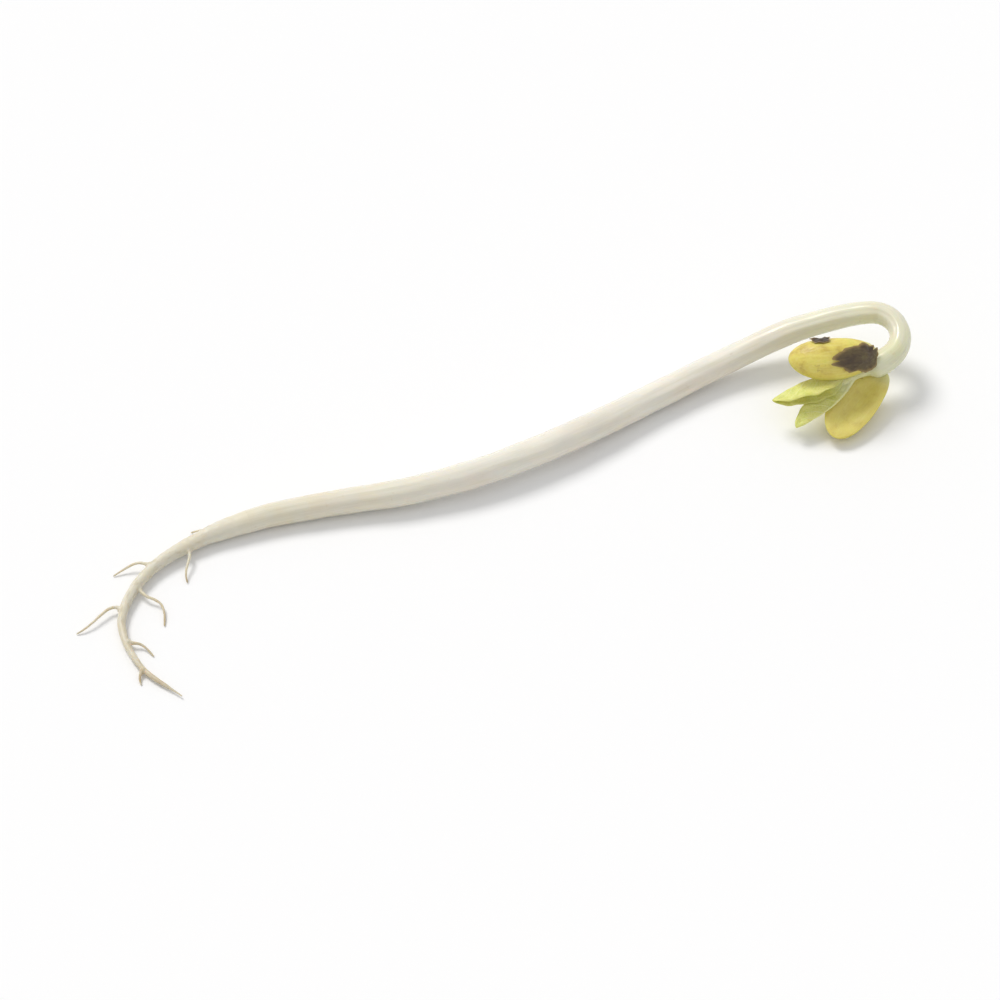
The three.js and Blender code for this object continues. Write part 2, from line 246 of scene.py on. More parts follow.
def draw_rod(mesh, frames, radii, sides):
    """Draws a round body out along its frames. A disc is extruded ring by ring, and each ring is carried
    to the next frame at its own radius. The layer 'straight' keeps where a point would be if the rod
    were straight: across, across and along."""
    straight = mesh.verts.layers.float_vector.get("straight")
    if straight is None:
        straight = mesh.verts.layers.float_vector.new("straight")
    disc = bmesh.ops.create_circle(mesh, cap_ends=True, cap_tris=True, segments=sides, radius=1)["verts"]
    rim = [edge for edge in mesh.edges if edge.is_boundary]
    for edge in rim:
        edge.smooth = False
    placed = frames[0] @ Matrix.Scale(radii[0], 4)
    bmesh.ops.transform(mesh, matrix=placed, verts=disc)
    flatten = frames[0].inverted()
    for vert in disc:
        vert[straight] = flatten @ vert.co
    along = 0
    for index in range(1, len(frames)):
        along += (frames[index].translation - frames[index - 1].translation).length
        next_place = frames[index] @ Matrix.Scale(radii[index], 4)
        grown = bmesh.ops.extrude_edge_only(mesh, edges=rim)["geom"]
        ring = [part for part in grown if isinstance(part, bmesh.types.BMVert)]
        ring_set = set(ring)
        grown_edges = [part for part in grown if isinstance(part, bmesh.types.BMEdge)]
        rim = [edge for edge in grown_edges if ring_set >= set(edge.verts)]
        for edge in grown_edges:
            edge.smooth = True
        bmesh.ops.transform(mesh, matrix=next_place @ placed.inverted(), verts=ring)
        placed = next_place
        flatten = frames[index].inverted()
        for vert in ring:
            vert[straight] = flatten @ vert.co + Vector((0, 0, along))
    end_cap = bmesh.ops.edgeloop_fill(mesh, edges=rim)["faces"]
    bmesh.ops.triangulate(mesh, faces=end_cap)


def finish_piece(mesh, name, finish, node):
    """Turns a drawn mesh into a piece of the sprout: in metres, with its faces outwards, standing for its
    CAD node."""
    mesh.normal_update()
    bmesh.ops.recalc_face_normals(mesh, faces=mesh.faces)
    bmesh.ops.scale(mesh, vec=(MM, MM, MM), verts=mesh.verts)
    for face in mesh.faces:
        face.smooth = True
    data = bpy.data.meshes.new(name)
    mesh.to_mesh(data)
    mesh.free()
    data.materials.append(finish)
    piece = bpy.data.objects.new(name, data)
    scene.collection.objects.link(piece)
    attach(piece, "root")
    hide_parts(node)


STEM_RADII = [
    [0, COLLAR_RADIUS],
    [0.08, COLLAR_RADIUS * 1.08],
    [0.32, STEM_RADIUS],
    [0.58, STEM_RADIUS * 0.97],
    [0.8, STEM_RADIUS * 0.86],
    [0.93, NECK_RADIUS],
    [0.985, NODE_RADIUS],
    [1, NODE_RADIUS * 0.98],
]
RING_SPACING = 0.14
STEM_SIDES = 72
SWELLING_HEIGHT = 0.06
LUMP_HEIGHT = 0.045
GROOVE_DEPTH = 0.011
STRAND_HEIGHT = 0.018
CREASE_DEPTH = 0.05
PLAIN_FIRST_STRETCH = 2.5
PLAIN_LAST_STRETCH = 1.4
BEND_SPAN = 2

whole_route = smooth_route(CENTRELINE, RING_SPACING)
whole_frames = frames_along(whole_route)
collar_index = round(ROOT_LENGTH / RING_SPACING)
stem_frames = whole_frames[collar_index:]
stem_length = RING_SPACING * (len(stem_frames) - 1)


def stem_radius(along):
    """Radius of the stem. Past the node it draws in, over a round shoulder, to the shoot's base."""
    radius = value_along(STEM_RADII, along / (stem_length - NODE_RADIUS))
    over_shoulder = max(0, (along - (stem_length - NODE_RADIUS)) / NODE_RADIUS)
    return radius + (STEM_END_RADIUS - radius) * ease(0, 1, over_shoulder**1.5)


def stem_relief(place, inner):
    """How far the skin stands off the plain stem: slow swellings, long grooves, and creases on the inner
    side of the hook. It dies out towards both ends, where the root and the shoot go on."""
    around = math.atan2(place.y, place.x)
    slow = noise.noise(Vector((0.2 * math.cos(around), 0.2 * math.sin(around), place.z * 0.16 + 4)))
    lumps = noise.noise(Vector((place.x * 0.7, place.y * 0.7, place.z * 0.42)))
    drift = 1.5 * noise.noise(Vector((1.3, 7.7, place.z * 0.07)))
    grooves = math.sin(7 * around + drift) + 0.7 * math.sin(11 * around - drift + 1.1)
    strands = noise.noise(Vector((place.x * 5, place.y * 5, place.z * 0.25)))
    folds = math.sin(place.z * 9.5 + 2.2 * noise.noise(Vector((place.x, place.y, place.z * 0.8))))
    crease = inner * inner * (0.5 + 0.5 * folds) * (0.6 + 0.8 * noise.noise(Vector((5, 5, place.z * 0.9))))
    relief = SWELLING_HEIGHT * slow + LUMP_HEIGHT * lumps + GROOVE_DEPTH * grooves
    relief += STRAND_HEIGHT * strands - CREASE_DEPTH * max(crease, 0)
    fade_in = ease(0, PLAIN_FIRST_STRETCH, place.z)
    return relief * fade_in * ease(stem_length, stem_length - PLAIN_LAST_STRETCH, place.z)


stem_mesh = bmesh.new()
stem_radii = [stem_radius(RING_SPACING * i) for i in range(len(stem_frames))]
draw_rod(stem_mesh, stem_frames, stem_radii, STEM_SIDES)
straight_layer = stem_mesh.verts.layers.float_vector["straight"]
bmesh.ops.recalc_face_normals(stem_mesh, faces=stem_mesh.faces)
stem_mesh.normal_update()
stem_moves = []
for vert in stem_mesh.verts:
    place = vert[straight_layer]
    index = min(max(round(place.z / RING_SPACING), BEND_SPAN), len(stem_frames) - 1 - BEND_SPAN)
    bend = stem_frames[index + BEND_SPAN].col[2].to_3d() - stem_frames[index - BEND_SPAN].col[2].to_3d()
    inner = max(0, bend.dot(vert.normal)) / (2 * BEND_SPAN * RING_SPACING / HOOK_BEND_RADIUS)
    stem_moves.append(vert.normal * stem_relief(place, min(inner, 1)))
for vert, move in zip(stem_mesh.verts, stem_moves):
    vert.co += move


def add_node(tree, kind, **settings):
    """A new shader node of a kind, with its settings."""
    node = tree.nodes.new("ShaderNode" + kind)
    for key, value in settings.items():
        setattr(node, key, value)
    return node


def new_finish(name):
    """A material, its nodes, its Principled BSDF, and the place on the object in metres."""
    finish = bpy.data.materials.new(name)
    finish.use_nodes = True
    tree = finish.node_tree
    return finish, tree, tree.nodes["Principled BSDF"], add_node(tree, "TexCoord").outputs["Object"]


def add_noise(tree, place, per_unit, detail=3, roughness=0.5):
    """Noise on a place, with the number of bumps per unit along each axis."""
    spread = add_node(tree, "Mapping")
    spread.inputs["Scale"].default_value = per_unit
    grain = add_node(tree, "TexNoise")
    grain.inputs["Scale"].default_value = 1
    grain.inputs["Detail"].default_value = detail
    grain.inputs["Roughness"].default_value = roughness
    tree.links.new(place, spread.inputs["Vector"])
    tree.links.new(spread.outputs["Vector"], grain.inputs["Vector"])
    return grain.outputs["Fac"]


def add_ramp(tree, factor, stops):
    """Colours along a factor, from [position, (red, green, blue)] stops."""
    ramp = add_node(tree, "ValToRGB")
    elements = ramp.color_ramp.elements
    while len(elements) < len(stops):
        elements.new(0.5)
    for element, (position, colour) in zip(elements, stops):
        element.position = position
        element.color = (*colour, 1)
    tree.links.new(factor, ramp.inputs["Fac"])
    return ramp.outputs["Color"]


def add_range(tree, value, low, high, new_low=0.0, new_high=1.0):
    """Takes low..high to new_low..new_high with soft ends."""
    rescale = add_node(tree, "MapRange", interpolation_type="SMOOTHSTEP")
    for socket, number in zip(("From Min", "From Max", "To Min", "To Max"), (low, high, new_low, new_high)):
        rescale.inputs[socket].default_value = number
    tree.links.new(value, rescale.inputs["Value"])
    return rescale.outputs["Result"]


MIX_COLOUR_A = 6
MIX_COLOUR_B = 7
MIX_COLOUR_RESULT = 2


def add_mix(tree, factor, first, second):
    """Mixes a colour from a socket with a plain colour, as far as the factor says."""
    mix = add_node(tree, "Mix", data_type="RGBA")
    tree.links.new(factor, mix.inputs["Factor"])
    tree.links.new(first, mix.inputs[MIX_COLOUR_A])
    mix.inputs[MIX_COLOUR_B].default_value = (*second, 1)
    return mix.outputs[MIX_COLOUR_RESULT]


def add_bump(tree, shader, height, depth):
    """A bump whose full height is depth millimetres."""
    bump = add_node(tree, "Bump")
    bump.inputs["Distance"].default_value = depth * MM
    tree.links.new(height, bump.inputs["Height"])
    tree.links.new(bump.outputs["Normal"], shader.inputs["Normal"])


def wet_tissue(shader, depth, weight, shine):
    """Light passes up to depth millimetres into living tissue before it comes out again."""
    shader.inputs["Subsurface Weight"].default_value = weight
    shader.inputs["Subsurface Radius"].default_value = (1.0, 0.8, 0.5)
    shader.inputs["Subsurface Scale"].default_value = depth * MM
    shader.inputs["Specular IOR Level"].default_value = shine


# What all the sprout's tissue shares: slow clouds where it is more or less watery, small scuffs, and
# the fine grain of its cells.
tissue = bpy.data.node_groups.new("living_tissue", "ShaderNodeTree")
tissue.interface.new_socket("Vector", in_out="INPUT", socket_type="NodeSocketVector")
for output_name in ("Clouds", "Scuffs", "Cells"):
    tissue.interface.new_socket(output_name, in_out="OUTPUT", socket_type="NodeSocketFloat")
tissue_in = tissue.nodes.new("NodeGroupInput")
tissue_out = tissue.nodes.new("NodeGroupOutput")
clouds = add_noise(tissue, tissue_in.outputs["Vector"], (400, 400, 400), detail=2)
tissue.links.new(add_range(tissue, clouds, 0.35, 0.65), tissue_out.inputs["Clouds"])
scuffs = add_noise(tissue, tissue_in.outputs["Vector"], (900, 900, 900), detail=6, roughness=0.7)
tissue.links.new(add_range(tissue, scuffs, 0.6, 0.72), tissue_out.inputs["Scuffs"])
cells = add_node(tissue, "TexVoronoi")
cells.inputs["Scale"].default_value = 5500
tissue.links.new(tissue_in.outputs["Vector"], cells.inputs["Vector"])
tissue.links.new(cells.outputs["Distance"], tissue_out.inputs["Cells"])


def add_tissue(tree, place):
    """The outputs of the living tissue group, at a place on the object."""
    group = tree.nodes.new("ShaderNodeGroup")
    group.node_tree = tissue
    tree.links.new(place, group.inputs["Vector"])
    return group.outputs


# The skin: ivory, creamier at the collar and greener towards the head, with warmer stretches, faint tan
# strands and scuffs. It scatters no light at its two ends, where it runs into the root and the shoot,
# because a scattering surface turns dark where another one cuts into it.
COLLAR_CREAM = (0.76, 0.70, 0.54)
STEM_IVORY = (0.86, 0.82, 0.725)
STRAND_SHADE = (0.69, 0.64, 0.50)
STRANDS_PER_MM = (4.5, 4.5, 0.22)
stem_finish, tree, shader, object_place = new_finish("sprout_stem_skin")
straight = add_node(tree, "Attribute", attribute_name="straight").outputs["Vector"]
split = add_node(tree, "SeparateXYZ")
tree.links.new(straight, split.inputs["Vector"])
common = add_tissue(tree, object_place)
colour = add_ramp(tree, add_range(tree, split.outputs["Z"], 0, stem_length), [
    [0.0, COLLAR_CREAM],
    [0.06, (0.80, 0.75, 0.61)],
    [0.2, STEM_IVORY],
    [0.75, STEM_IVORY],
    [0.92, (0.81, 0.80, 0.62)],
    [1.0, (0.75, 0.75, 0.47)],
])
warm_stretches = add_noise(tree, straight, (0.3, 0.3, 0.11), detail=2)
colour = add_mix(tree, add_range(tree, warm_stretches, 0.42, 0.66, 0, 0.5), colour, (0.78, 0.69, 0.58))
strands = add_noise(tree, straight, STRANDS_PER_MM, detail=4)
colour = add_mix(tree, add_range(tree, strands, 0.45, 0.7, 0, 0.45), colour, STRAND_SHADE)
colour = add_mix(tree, add_range(tree, common["Clouds"], 0, 1, 0, 0.3), colour, (0.75, 0.75, 0.68))
colour = add_mix(tree, add_range(tree, common["Scuffs"], 0, 1, 0, 0.3), colour, (0.62, 0.48, 0.32))
tree.links.new(colour, shader.inputs["Base Color"])
tree.links.new(add_range(tree, strands, 0.3, 0.7, 0.18, 0.34), shader.inputs["Roughness"])
add_bump(tree, shader, strands, 0.02)
wet_tissue(shader, 0.5, 0.5, 0.5)
scatter = add_node(tree, "Math", operation="MULTIPLY")
tree.links.new(add_range(tree, split.outputs["Z"], 0.3, 2.5, 0, 0.5), scatter.inputs[0])
tree.links.new(add_range(tree, split.outputs["Z"], stem_length - 0.4, stem_length - 2), scatter.inputs[1])
tree.links.new(scatter.outputs[0], shader.inputs["Subsurface Weight"])
finish_piece(stem_mesh, "stem", stem_finish, "hypocotyl")


# ---------------------------------------------------------------- root
# The thin primary root tapers from the collar almost to a hair, with a few fine rootlets that wander
# out to the sides. They grow out of it, so the drawn rods are blended into one skin, with a small
# flare where each leaves. The tissue is softer and duller than the stem's, and tans towards the tips.
ROOT_RADII = [
    [0, 1],
    [0.06, 0.9],
    [0.2, 0.66],
    [0.5, 0.45],
    [0.8, 0.26],
    [1, 0.14],
]
ROOT_INSIDE_STEM = (1.0, 0.995, 0.985, 0.93, 0.75)
ROOT_TIP_LENGTH = 2.5
ROOT_TIP_THINNING = 0.55
ROOT_TIP_ROUNDING = 0.2
ROOT_SIDES = 40
ROOTLET_RADIUS = 0.17
ROOTLET_TIP_RADIUS = 0.08
ROOTLET_FLARE = 0.16
ROOTLET_FLARE_REACH = 0.16
ROOTLET_TIP_AGE = 1.1
ROOTLETS = [
    # at (share from the collar), side, reach, sweep, wander, arch
    (0.13, 1, 1.7, 0.7, 0.08, 0.2),
    (0.24, -1, 3.1, 0.5, -0.1, 0.3),
    (0.35, 1, 2.3, 1.3, 0.12, 0.5),
    (0.45, -1, 4.3, 0.6, 0.11, 0.2),
    (0.57, 1, 3.6, 0.8, -0.13, 0.3),
    (0.7, -1, 1.9, 1.1, 0.1, 0.2),
    (0.83, 1, 1.1, 1, 0.06, 0.1),
]
ROOTLET_POINTS = 7
ROOTLET_STEP = 0.07
ROOTLET_SIDES = 16
ROOT_SKIN_GRAIN = 0.05
SKIN_SOFTENING = 4
ROOT_LUMP_HEIGHT = 0.05
ROOT_RING_HEIGHT = 0.02
FULL_LUMPS_RADIUS = 0.5


def root_radius(share):
    """Radius at a share of the root's length from the collar, drawn out to a hair at the tip."""
    hair = 1 - ROOT_TIP_THINNING * ease(ROOT_TIP_LENGTH, 0, (1 - share) * ROOT_LENGTH)
    tip = min(1, (1 - share) * ROOT_LENGTH / ROOT_TIP_ROUNDING)
    return COLLAR_RADIUS * value_along(ROOT_RADII, share) * hair * math.sqrt(max(tip * (2 - tip), 0.05))


def rootlet_route(at, side, reach, sweep, wander, arch):
    """A rootlet's route, from inside the main root out to its tip on the surface."""
    frame_there = whole_frames[round(collar_index * (1 - at))]
    base = frame_there.translation
    onward = -frame_there.col[2].to_3d()
    outward = Vector((onward.y, -onward.x, 0)).normalized() * side
    points = []
    for step in range(ROOTLET_POINTS):
        t = step / (ROOTLET_POINTS - 1)
        drift = sweep * t * t + wander * math.sin(2 * math.pi * t)
        away = outward * (reach * t) + onward * (reach * drift)
        point = base + away
        point.z = base.z - (base.z - ROOTLET_TIP_RADIUS - 0.02) * t + arch * math.sin(math.pi * t)
        points.append(point)
    return smooth_route(points, ROOTLET_STEP)


def blended(mesh, grain):
    """The drawn bodies as one skin with soft junctions."""
    data = bpy.data.meshes.new("drawn_bodies")
    mesh.to_mesh(data)
    mesh.free()
    drawn = bpy.data.objects.new("drawn_bodies", data)
    scene.collection.objects.link(drawn)
    drawn.modifiers.new("one_skin", "REMESH").voxel_size = grain
    soften = drawn.modifiers.new("soften", "SMOOTH")
    soften.factor = 0.5
    soften.iterations = SKIN_SOFTENING
    skin = bpy.data.meshes.new_from_object(drawn.evaluated_get(bpy.context.evaluated_depsgraph_get()))
    bpy.data.objects.remove(drawn)
    result = bmesh.new()
    result.from_mesh(skin)
    return result


root_mesh = bmesh.new()
root_radii = [root_radius(1 - i / collar_index) for i in range(collar_index + 1)]
root_radii += [COLLAR_RADIUS * share for share in ROOT_INSIDE_STEM]
root_frames = whole_frames[: len(root_radii)]
draw_rod(root_mesh, root_frames, root_radii, ROOT_SIDES)
stations = []
for i, frame_here in enumerate(root_frames):
    stations.append((frame_here.translation, 1 - i / collar_index))
for rootlet in ROOTLETS:
    rootlet_frames = frames_along(rootlet_route(*rootlet))
    radii = []
    for i, frame_here in enumerate(rootlet_frames):
        t = i / (len(rootlet_frames) - 1)
        thin = ROOTLET_RADIUS + (ROOTLET_TIP_RADIUS - ROOTLET_RADIUS) * t
        past_root = i * ROOTLET_STEP - root_radius(rootlet[0])
        flare = ROOTLET_FLARE * math.exp(-max(past_root, 0) / ROOTLET_FLARE_REACH)
        radii.append((thin + flare) * math.sqrt(max(1 - max(0, (t - 0.97) / 0.03) ** 2, 0.05)))
        stations.append((frame_here.translation, rootlet[0] + (ROOTLET_TIP_AGE - rootlet[0]) * t))
    draw_rod(root_mesh, rootlet_frames, radii, ROOTLET_SIDES)
root_mesh = blended(root_mesh, ROOT_SKIN_GRAIN)

# Each point of the skin keeps how far it has aged and tanned, from 0 at the collar to 1 at the tip, and
# where it would be if the main root were straight.
age_tree = kdtree.KDTree(len(stations))
for index, station in enumerate(stations):
    age_tree.insert(station[0], index)
age_tree.balance()
root_tree = kdtree.KDTree(len(root_frames))
for index, frame_here in enumerate(root_frames):
    root_tree.insert(frame_here.translation, index)
root_tree.balance()
flatteners = [frame_here.inverted() for frame_here in root_frames]
age_layer = root_mesh.verts.layers.float.new("age")
straight_layer = root_mesh.verts.layers.float_vector.new("straight")
root_mesh.normal_update()
for vert in root_mesh.verts:
    index, distance = age_tree.find(vert.co)[1:]
    age = stations[index][1]
    vert[age_layer] = age
    index = root_tree.find(vert.co)[1]
    onward = (index - collar_index) * RING_SPACING
    vert[straight_layer] = flatteners[index] @ vert.co + Vector((0, 0, onward))
    lumps = noise.noise(vert.co * 0.8) + 0.5 * noise.noise(vert.co * 2.1)
    rings = noise.noise(Vector((onward * 2.2, 0, 0)))
    strength = min(1, distance / FULL_LUMPS_RADIUS) * ease(0, 0.08, age)
    vert.co += vert.normal * (strength * (ROOT_LUMP_HEIGHT * lumps + ROOT_RING_HEIGHT * rings))

root_finish, tree, shader, object_place = new_finish("sprout_root_skin")
age = add_node(tree, "Attribute", attribute_name="age").outputs["Fac"]
common = add_tissue(tree, object_place)
colour = add_ramp(tree, age, [
    [0.0, COLLAR_CREAM],
    [0.15, (0.745, 0.695, 0.565)],
    [0.5, (0.70, 0.65, 0.51)],
    [0.85, (0.63, 0.555, 0.405)],
    [1.0, (0.46, 0.37, 0.23)],
])
straight = add_node(tree, "Attribute", attribute_name="straight").outputs["Vector"]
strands = add_noise(tree, straight, STRANDS_PER_MM, detail=4)
colour = add_mix(tree, add_range(tree, strands, 0.45, 0.7, 0, 0.4), colour, STRAND_SHADE)
colour = add_mix(tree, add_range(tree, common["Clouds"], 0, 1, 0, 0.3), colour, (0.75, 0.75, 0.68))
bark = add_noise(tree, straight, (3.2, 3.2, 1.1), detail=4, roughness=0.6)
barkiness = add_range(tree, age, 0.02, 0.3)
bark_mask = add_node(tree, "Math", operation="MULTIPLY")
tree.links.new(add_range(tree, bark, 0.48, 0.7, 0, 0.5), bark_mask.inputs[0])
tree.links.new(barkiness, bark_mask.inputs[1])
colour = add_mix(tree, bark_mask.outputs[0], colour, (0.49, 0.41, 0.25))
colour = add_mix(tree, add_range(tree, common["Scuffs"], 0, 1, 0, 0.2), colour, (0.575, 0.50, 0.335))
tree.links.new(colour, shader.inputs["Base Color"])
grain = add_node(tree, "Mix")
tree.links.new(barkiness, grain.inputs["Factor"])
tree.links.new(strands, grain.inputs["A"])
tree.links.new(bark, grain.inputs["B"])
tree.links.new(add_range(tree, grain.outputs["Result"], 0.3, 0.7, 0.3, 0.52), shader.inputs["Roughness"])
add_bump(tree, shader, grain.outputs["Result"], 0.03)
wet_tissue(shader, 0.4, 0.45, 0.4)
tree.links.new(add_range(tree, age, 0.01, 0.12, 0, 0.45), shader.inputs["Subsurface Weight"])
finish_piece(root_mesh, "root_and_rootlets", root_finish, "root")


# ---------------------------------------------------------------- seed halves
# The two halves of the bean, full of waxy yellow flesh, flat inside and round outside. They have sprung
# open from the node, wrinkled a little as the shoot drew on them, and greened along their rims.
SEED_HALF_LENGTH = 8.2
SEED_HALF_WIDTH = 4.3
SEED_HALF_THICKNESS = 1.95
INNER_BULGE = 0.16
KIDNEY_BOW = 0.35
SEED_HALF_GAP = 1.64
DENT_DEPTH = 0.07
WRINKLE_DEPTH = 0.06
HOLLOW_DEPTH = 0.34
FURROW_DEPTH = 0.1
FINE_WRINKLE_DEPTH = 0.012
HALF_SETBACK = 1.5
# The head has a frame of its own: +X runs out of the node along the head, and +Z is its upper side.
UPWARD = INWARD.cross(FORWARD).normalized()
SIDEWAYS = UPWARD.cross(HEAD_DIRECTION)
HEAD = Matrix.Translation(NODE) @ Matrix((HEAD_DIRECTION, SIDEWAYS, UPWARD)).transposed().to_4x4()


def on_head(place, roll, pitch, yaw):
    """Where a piece of the head stands, and how it is turned, from the node."""
    turn = Matrix.Rotation(yaw, 4, "Z") @ Matrix.Rotation(pitch, 4, "Y") @ Matrix.Rotation(roll, 4, "X")
    return HEAD @ Matrix.Translation(place) @ turn


LOWER_HALF = on_head((-HALF_SETBACK, 0.25, -SEED_HALF_GAP / 2), math.pi - 0.2, -0.03, 0.4)
UPPER_HALF = on_head((-HALF_SETBACK, -0.2, SEED_HALF_GAP / 2), -0.1, -0.22, -0.36)
LOWER_HALF_WRINKLES = 3.1
UPPER_HALF_WRINKLES = 8.4


def seed_half_point(direction, rise):
    """Point of a seed half, raised by rise. The base is at the origin, +X runs to the tip, and +Z is the
    round outer side."""
    half_length = SEED_HALF_LENGTH / 2
    half_width = (SEED_HALF_WIDTH / 2) * (0.94 + 0.08 * direction.x)
    depth = SEED_HALF_THICKNESS if direction.z > 0 else INNER_BULGE
    outward = Vector((direction.x / half_length, direction.y / half_width, 0))
    outward.z = direction.z / SEED_HALF_THICKNESS
    point = Vector((direction.x * half_length, direction.y * half_width, direction.z * depth))
    point += outward.normalized() * rise
    point.y -= KIDNEY_BOW * direction.x**2
    point.x += half_length
    return point


def seed_half_relief(direction, seed):
    """How far the flesh stands off the plain form: shrunken dents outside, a shallow hollow inside."""
    place = seed_half_point(direction, 0)
    shift = Vector((seed, seed * 2.3, 0))
    dents = noise.noise(place * 0.55 + shift)
    wrinkles = noise.noise(Vector((place.x * 0.5, place.y * 2.4, place.z * 2.4)) + shift)
    ridges = (1 - 2 * abs(wrinkles)) * 0.5
    fine = noise.noise(Vector((place.x * 1.6, place.y * 5, place.z * 5)) + shift)
    outside = ease(0, 0.25, direction.z)
    from_middle = math.hypot(direction.x, direction.y)
    hollow = ease(-0.05, -0.4, direction.z) * (1 - ease(0.3, 0.93, from_middle))
    furrow = math.exp(-((direction.y * 3.2) ** 2)) * hollow
    relief = DENT_DEPTH * dents * outside - WRINKLE_DEPTH * ridges * outside + FINE_WRINKLE_DEPTH * fine
    return relief - HOLLOW_DEPTH * hollow - FURROW_DEPTH * furrow


def draw_seed_half(place, seed):
    """A seed half at its place. The layer 'form' keeps each point's direction from the middle."""
    mesh = bmesh.new()
    form = mesh.verts.layers.float_vector.new("form")
    bmesh.ops.create_uvsphere(mesh, u_segments=144, v_segments=96, radius=1)
    for vert in mesh.verts:
        direction = vert.co.normalized()
        vert[form] = direction
        relief = seed_half_relief(direction, seed)
        point = seed_half_point(direction, 0)
        lift = Vector((direction.x * 0.25, direction.y * 0.45, direction.z)).normalized()
        vert.co = place @ (point + lift * relief)
    return mesh


half_finish, tree, shader, object_place = new_finish("sprout_seed_half")
form = add_node(tree, "Attribute", attribute_name="form").outputs["Vector"]
split = add_node(tree, "SeparateXYZ")
tree.links.new(form, split.inputs["Vector"])
common = add_tissue(tree, object_place)
mottle = add_noise(tree, object_place, (750, 750, 750), detail=4, roughness=0.6)
colour = add_ramp(tree, mottle, [
    [0.28, (0.53, 0.38, 0.06)],
    [0.45, (0.70, 0.57, 0.11)],
    [0.6, (0.77, 0.67, 0.15)],
    [0.75, (0.66, 0.63, 0.12)],
])
streaks = add_noise(tree, form, (1.6, 14, 14), detail=3)
colour = add_mix(tree, add_range(tree, streaks, 0.45, 0.7, 0, 0.4), colour, (0.81, 0.72, 0.27))
inside = add_range(tree, split.outputs["Z"], -0.06, -0.3)
colour = add_mix(tree, add_range(tree, inside, 0, 1, 0, 0.45), colour, (0.78, 0.69, 0.21))
near_base = add_range(tree, split.outputs["X"], -0.55, -1.0, 0, 0.8)
colour = add_mix(tree, near_base, colour, (0.70, 0.71, 0.42))
rim = add_node(tree, "Math", operation="ABSOLUTE")
tree.links.new(split.outputs["Z"], rim.inputs[0])
colour = add_mix(tree, add_range(tree, rim.outputs[0], 0.22, 0.0, 0, 0.5), colour, (0.53, 0.53, 0.10))
colour = add_mix(tree, add_range(tree, common["Scuffs"], 0, 1, 0, 0.55), colour, (0.36, 0.24, 0.07))
tree.links.new(colour, shader.inputs["Base Color"])
tree.links.new(add_range(tree, mottle, 0.3, 0.7, 0.34, 0.52), shader.inputs["Roughness"])
add_bump(tree, shader, common["Cells"], 0.012)
wet_tissue(shader, 0.6, 0.4, 0.45)
lower_half = draw_seed_half(LOWER_HALF, LOWER_HALF_WRINKLES)
finish_piece(lower_half, "seed_half_lower", half_finish, "cotyledon_lower")
upper_half = draw_seed_half(UPPER_HALF, UPPER_HALF_WRINKLES)
finish_piece(upper_half, "seed_half_upper", half_finish, "cotyledon_upper")


# ---------------------------------------------------------------- shoot
# The short pale stalk that carries the young leaves out from between the seed halves. It forks into
# two leaf stalks around the pointed bud that the next leaves will come from, all of one soft skin.
SHOOT_LENGTH = 2.7
SHOOT_RADIUS = 0.42
SHOOT_RISE = 0.3
SHOOT_START = 0.9
SHOOT_FLARE_FROM = -0.3
SHOOT_FLARE_REACH = 0.5
SHOOT_STEP = 0.06
SHOOT_SIDES = 28
STALK_RADIUS = 0.26
STALK_TAPER = 0.16
STALK_SIDES = 16
BUD_TIP_RADIUS = 0.05
BUD_SWELLING = 0.2
BUD_STEP = 0.05
BUD_SIDES = 14
SHOOT_SKIN_GRAIN = 0.045
LEFT_LEAF = on_head((SHOOT_LENGTH * 0.8, -0.5, SHOOT_RISE + 0.7), -1.46, -0.02, -0.14)
RIGHT_LEAF = on_head((SHOOT_LENGTH * 0.8, 0.68, SHOOT_RISE - 0.16), 1.57, 0.01, 0.15)

shoot_mesh = bmesh.new()
shoot_route = smooth_route([
    HEAD @ Vector((-SHOOT_START, 0, 0)),
    HEAD @ Vector((0, 0, 0)),
    HEAD @ Vector((SHOOT_LENGTH * 0.45, 0, SHOOT_RISE * 0.72)),
    HEAD @ Vector((SHOOT_LENGTH, 0, SHOOT_RISE)),
], SHOOT_STEP)
shoot_radii = []
for i in range(len(shoot_route)):
    t = i / (len(shoot_route) - 1)
    waist = SHOOT_RADIUS * (1 - 0.16 * math.sin(math.pi * min(1, t * 1.15)))
    out_of_node = max(i * SHOOT_STEP - SHOOT_START, SHOOT_FLARE_FROM)
    flare = (SHOOT_BASE_RADIUS - SHOOT_RADIUS) * math.exp(-out_of_node / SHOOT_FLARE_REACH)
    shoot_radii.append((waist + flare) * math.sqrt(max(1 - max(0, (t - 0.86) / 0.14) ** 2, 0.01)))
draw_rod(shoot_mesh, frames_along(shoot_route), shoot_radii, SHOOT_SIDES)
for leaf_place, aside in ((LEFT_LEAF, Vector((1.3, -0.12, 0.42))), (RIGHT_LEAF, Vector((1.4, 0.16, 0.2)))):
    stalk_points = [HEAD @ Vector((1.0, 0, 0.2)), HEAD @ aside]
    stalk_points += [leaf_place @ Vector((0.2, 0, 0)), leaf_place @ Vector((0.9, 0, -0.2))]
    stalk = smooth_route(stalk_points, SHOOT_STEP)
    stalk_radii = [STALK_RADIUS - STALK_TAPER * (i / (len(stalk) - 1)) ** 1.5 for i in range(len(stalk))]
    draw_rod(shoot_mesh, frames_along(stalk), stalk_radii, STALK_SIDES)
